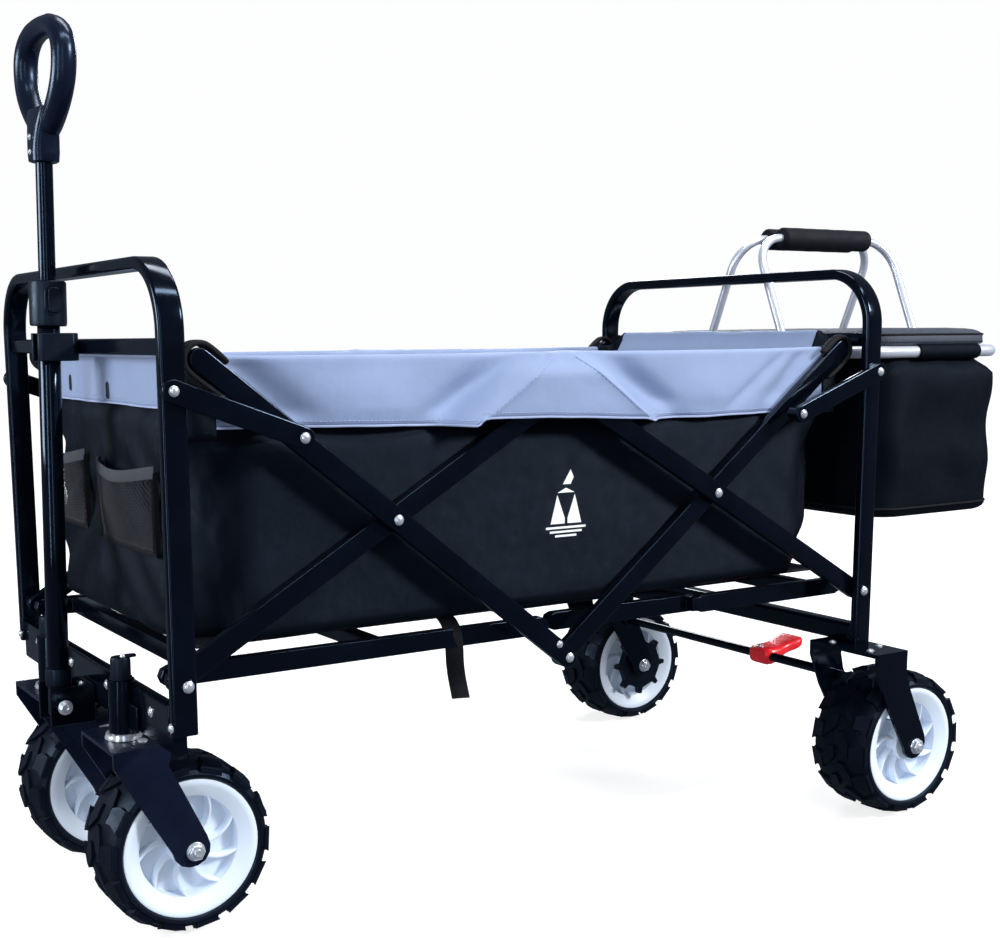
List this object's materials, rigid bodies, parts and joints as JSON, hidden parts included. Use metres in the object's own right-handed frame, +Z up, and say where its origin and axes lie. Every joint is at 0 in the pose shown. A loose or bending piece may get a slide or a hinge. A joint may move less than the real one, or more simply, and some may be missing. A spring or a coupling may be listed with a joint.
{
  "type": "folding camp wagon",
  "caption": "Folding camp wagon: black scissor frame, open fabric bag with a pale band, swivel front wheels, braked rear wheels, telescoping tow handle and a rear basket.",
  "frame": {"origin": "middle of the whole wagon on the ground, between the tow bracket and the back of the basket", "axes": "+Z up, -X towards the tow handle (front), -Y the left side as seen from behind"},
  "size_m": [1.2398, 0.638, 0.9073],
  "materials": {
    "frame": "black gloss powder coat",
    "fastener": "bright zinc plated rivets, bolts and nuts",
    "aluminium": "polished tube",
    "plastic": "black moulded, fine grain",
    "pedal": "red moulded, glossy",
    "hub": "white moulded, ribbed",
    "tyre": "black chunky tread",
    "grip": "soft black foam and rubber",
    "bag_fabric": "black woven polyester",
    "bag_band": "blue-grey woven polyester top band",
    "mesh": "open net of the cup pockets",
    "webbing": "ribbed webbing and binding",
    "basket_fabric": "black heather polyester"
  },
  "bodies": {
    "root": {"front_hoop": "frame", "front_cross_bar": "frame", "front_beam": "frame", "tow_bracket": "frame", "tow_pivot_bolt": "fastener", "handle_clip": "plastic", "bag_side_left": "bag_fabric", "bag_side_right": "bag_fabric", "bag_front_wall": "bag_fabric", "bag_floor": "bag_fabric"},
    "caster_left": {"caster_fork_left": "frame", "caster_axle_left": "fastener"},
    "caster_right": {"caster_fork_right": "frame", "caster_axle_right": "fastener"},
    "front_wheel_left": {"front_tyre_left": "tyre", "front_hub_left": "hub"},
    "front_wheel_right": {"front_tyre_right": "tyre", "front_hub_right": "hub"},
    "front_long_links": {"front_long_link_left": "frame", "front_long_link_right": "frame"},
    "front_rim_links": {"front_rim_link_left": "frame", "front_rim_link_right": "frame"},
    "front_stays": {"front_stay_left": "frame", "front_stay_right": "frame"},
    "rear_long_links": {"rear_long_link_left": "frame", "rear_long_link_right": "frame"},
    "rear_rim_links": {"rear_rim_link_left": "frame", "rear_rim_link_right": "frame"},
    "rear_stays": {"rear_stay_left": "frame", "rear_stay_right": "frame"},
    "floor_front": {"floor_frame_front": "frame"},
    "floor_rear": {"floor_frame_rear": "frame"},
    "rear_frame": {"rear_hoop": "frame", "rear_cross_bar": "frame", "rear_beam": "frame", "wheel_bracket_left": "frame", "wheel_bracket_right": "frame", "rear_axle_left": "fastener", "rear_axle_right": "fastener", "bag_rear_wall": "bag_fabric"},
    "rear_wheel_left": {"rear_tyre_left": "tyre", "rear_hub_left": "hub", "brake_disc_left": "plastic"},
    "rear_wheel_right": {"rear_tyre_right": "tyre", "rear_hub_right": "hub", "brake_disc_right": "plastic"},
    "brake": {"brake_bar": "frame", "brake_pedal": "pedal"},
    "tow_arm": {"tow_tube": "frame", "tow_collar": "plastic"},
    "tow_slider": {"tow_inner_tube": "frame", "tow_grip": "grip"},
    "tow_button": {"tow_lock_button": "plastic"},
    "basket": {"basket_bag": "basket_fabric", "basket_rim": "aluminium"},
    "basket_cover": {"basket_lid": "basket_fabric"},
    "basket_handle_l": {"basket_handle_left": "aluminium", "basket_grip_left": "grip"},
    "basket_handle_r": {"basket_handle_right": "aluminium", "basket_grip_right": "grip"}
  },
  "joints": [
    {"name": "fold", "type": "hinge", "parent": "root", "child": "front_long_links", "pos_m": [-0.56, 0, 0.28], "axis": [0, -1, 0], "range_deg": [0, 49.5], "deforming": ["bag_side_left", "bag_side_right", "bag_floor", "bag_front_wall", "bag_rear_wall"]},
    {"name": "scissor_top", "type": "hinge", "parent": "front_long_links", "child": "rear_long_links", "pos_m": [-0.12, 0, 0.537], "axis": [0, -1, 0], "range_deg": [-99, 0]},
    {"name": "rear_base", "type": "hinge", "parent": "rear_long_links", "child": "rear_frame", "pos_m": [0.32, 0, 0.28], "axis": [0, -1, 0], "range_deg": [0, 49.5]},
    {"name": "front_cross", "type": "hinge", "parent": "front_long_links", "child": "front_rim_links", "pos_m": [-0.33, 0, 0.41434], "axis": [0, -1, 0], "range_deg": [-92, 0]},
    {"name": "rear_cross", "type": "hinge", "parent": "rear_long_links", "child": "rear_rim_links", "pos_m": [0.09, 0, 0.41434], "axis": [0, -1, 0], "range_deg": [0, 92]},
    {"name": "front_stay", "type": "hinge", "parent": "root", "child": "front_stays", "pos_m": [-0.566, 0, 0.547], "axis": [0, -1, 0], "range_deg": [0, 97.13]},
    {"name": "rear_stay", "type": "hinge", "parent": "rear_frame", "child": "rear_stays", "pos_m": [0.326, 0, 0.547], "axis": [0, -1, 0], "range_deg": [-97.13, 0]},
    {"name": "floor_front_hinge", "type": "hinge", "parent": "root", "child": "floor_front", "pos_m": [-0.56, 0, 0.28], "axis": [0, -1, 0], "range_deg": [0, 80.5]},
    {"name": "floor_rear_hinge", "type": "hinge", "parent": "rear_frame", "child": "floor_rear", "pos_m": [0.32, 0, 0.28], "axis": [0, -1, 0], "range_deg": [-80.5, 0]},
    {"name": "caster_swivel_left", "type": "hinge", "parent": "root", "child": "caster_left", "pos_m": [-0.5777, -0.1222, 0.203], "axis": [0, 0, 1], "continuous": true},
    {"name": "front_wheel_spin_left", "type": "hinge", "parent": "caster_left", "child": "front_wheel_left", "pos_m": [-0.5256, -0.1222, 0.09], "axis": [0, 1, 0], "continuous": true},
    {"name": "rear_wheel_spin_left", "type": "hinge", "parent": "rear_frame", "child": "rear_wheel_left", "pos_m": [0.3607, -0.2634, 0.09], "axis": [0, 1, 0], "continuous": true},
    {"name": "caster_swivel_right", "type": "hinge", "parent": "root", "child": "caster_right", "pos_m": [-0.5777, 0.1222, 0.203], "axis": [0, 0, 1], "continuous": true},
    {"name": "front_wheel_spin_right", "type": "hinge", "parent": "caster_right", "child": "front_wheel_right", "pos_m": [-0.5256, 0.1222, 0.09], "axis": [0, 1, 0], "continuous": true},
    {"name": "rear_wheel_spin_right", "type": "hinge", "parent": "rear_frame", "child": "rear_wheel_right", "pos_m": [0.3607, 0.2634, 0.09], "axis": [0, 1, 0], "continuous": true},
    {"name": "brake_pedal_press", "type": "hinge", "parent": "rear_frame", "child": "brake", "pos_m": [0.33, 0, 0.165], "axis": [0, 1, 0], "range_deg": [0, 30]},
    {"name": "tow_tilt", "type": "hinge", "parent": "root", "child": "tow_arm", "pos_m": [-0.605, 0, 0.215], "axis": [0, -1, 0], "range_deg": [0, 95]},
    {"name": "tow_telescope", "type": "slide", "parent": "tow_arm", "child": "tow_slider", "axis": [0.0244, 0, 0.9997], "range_m": [-0.1, 0.22]},
    {"name": "tow_button_press", "type": "slide", "parent": "tow_arm", "child": "tow_button", "axis": [0, 1, 0], "range_m": [0, 0.003], "stiffness_N_per_m": 300},
    {"name": "basket_lift", "type": "slide", "parent": "rear_frame", "child": "basket", "axis": [0, 0, 1], "range_m": [0, 0.25]},
    {"name": "basket_lid_hinge", "type": "hinge", "parent": "basket", "child": "basket_cover", "pos_m": [0.601, 0, 0.578], "axis": [0, 1, 0], "range_deg": [0, 30]},
    {"name": "basket_handle_swing_left", "type": "hinge", "parent": "basket", "child": "basket_handle_l", "pos_m": [0.4865, -0.075, 0.573], "axis": [1, 0, 0], "range_deg": [0, 105]},
    {"name": "basket_handle_swing_right", "type": "hinge", "parent": "basket", "child": "basket_handle_r", "pos_m": [0.4865, 0.075, 0.573], "axis": [1, 0, 0], "range_deg": [-105, 0]}
  ],
  "couplings": [
    {"joint": "scissor_top", "follows": "fold", "ratio": -2},
    {"joint": "rear_base", "follows": "fold", "ratio": 1},
    {"joint": "front_cross", "follows": "fold", "ratio": -1.8586},
    {"joint": "rear_cross", "follows": "fold", "ratio": 1.8586},
    {"joint": "front_stay", "follows": "fold", "ratio": 1.9623},
    {"joint": "rear_stay", "follows": "fold", "ratio": -1.9623},
    {"joint": "floor_front_hinge", "follows": "fold", "ratio": 1.6263},
    {"joint": "floor_rear_hinge", "follows": "fold", "ratio": -1.6263}
  ]
}
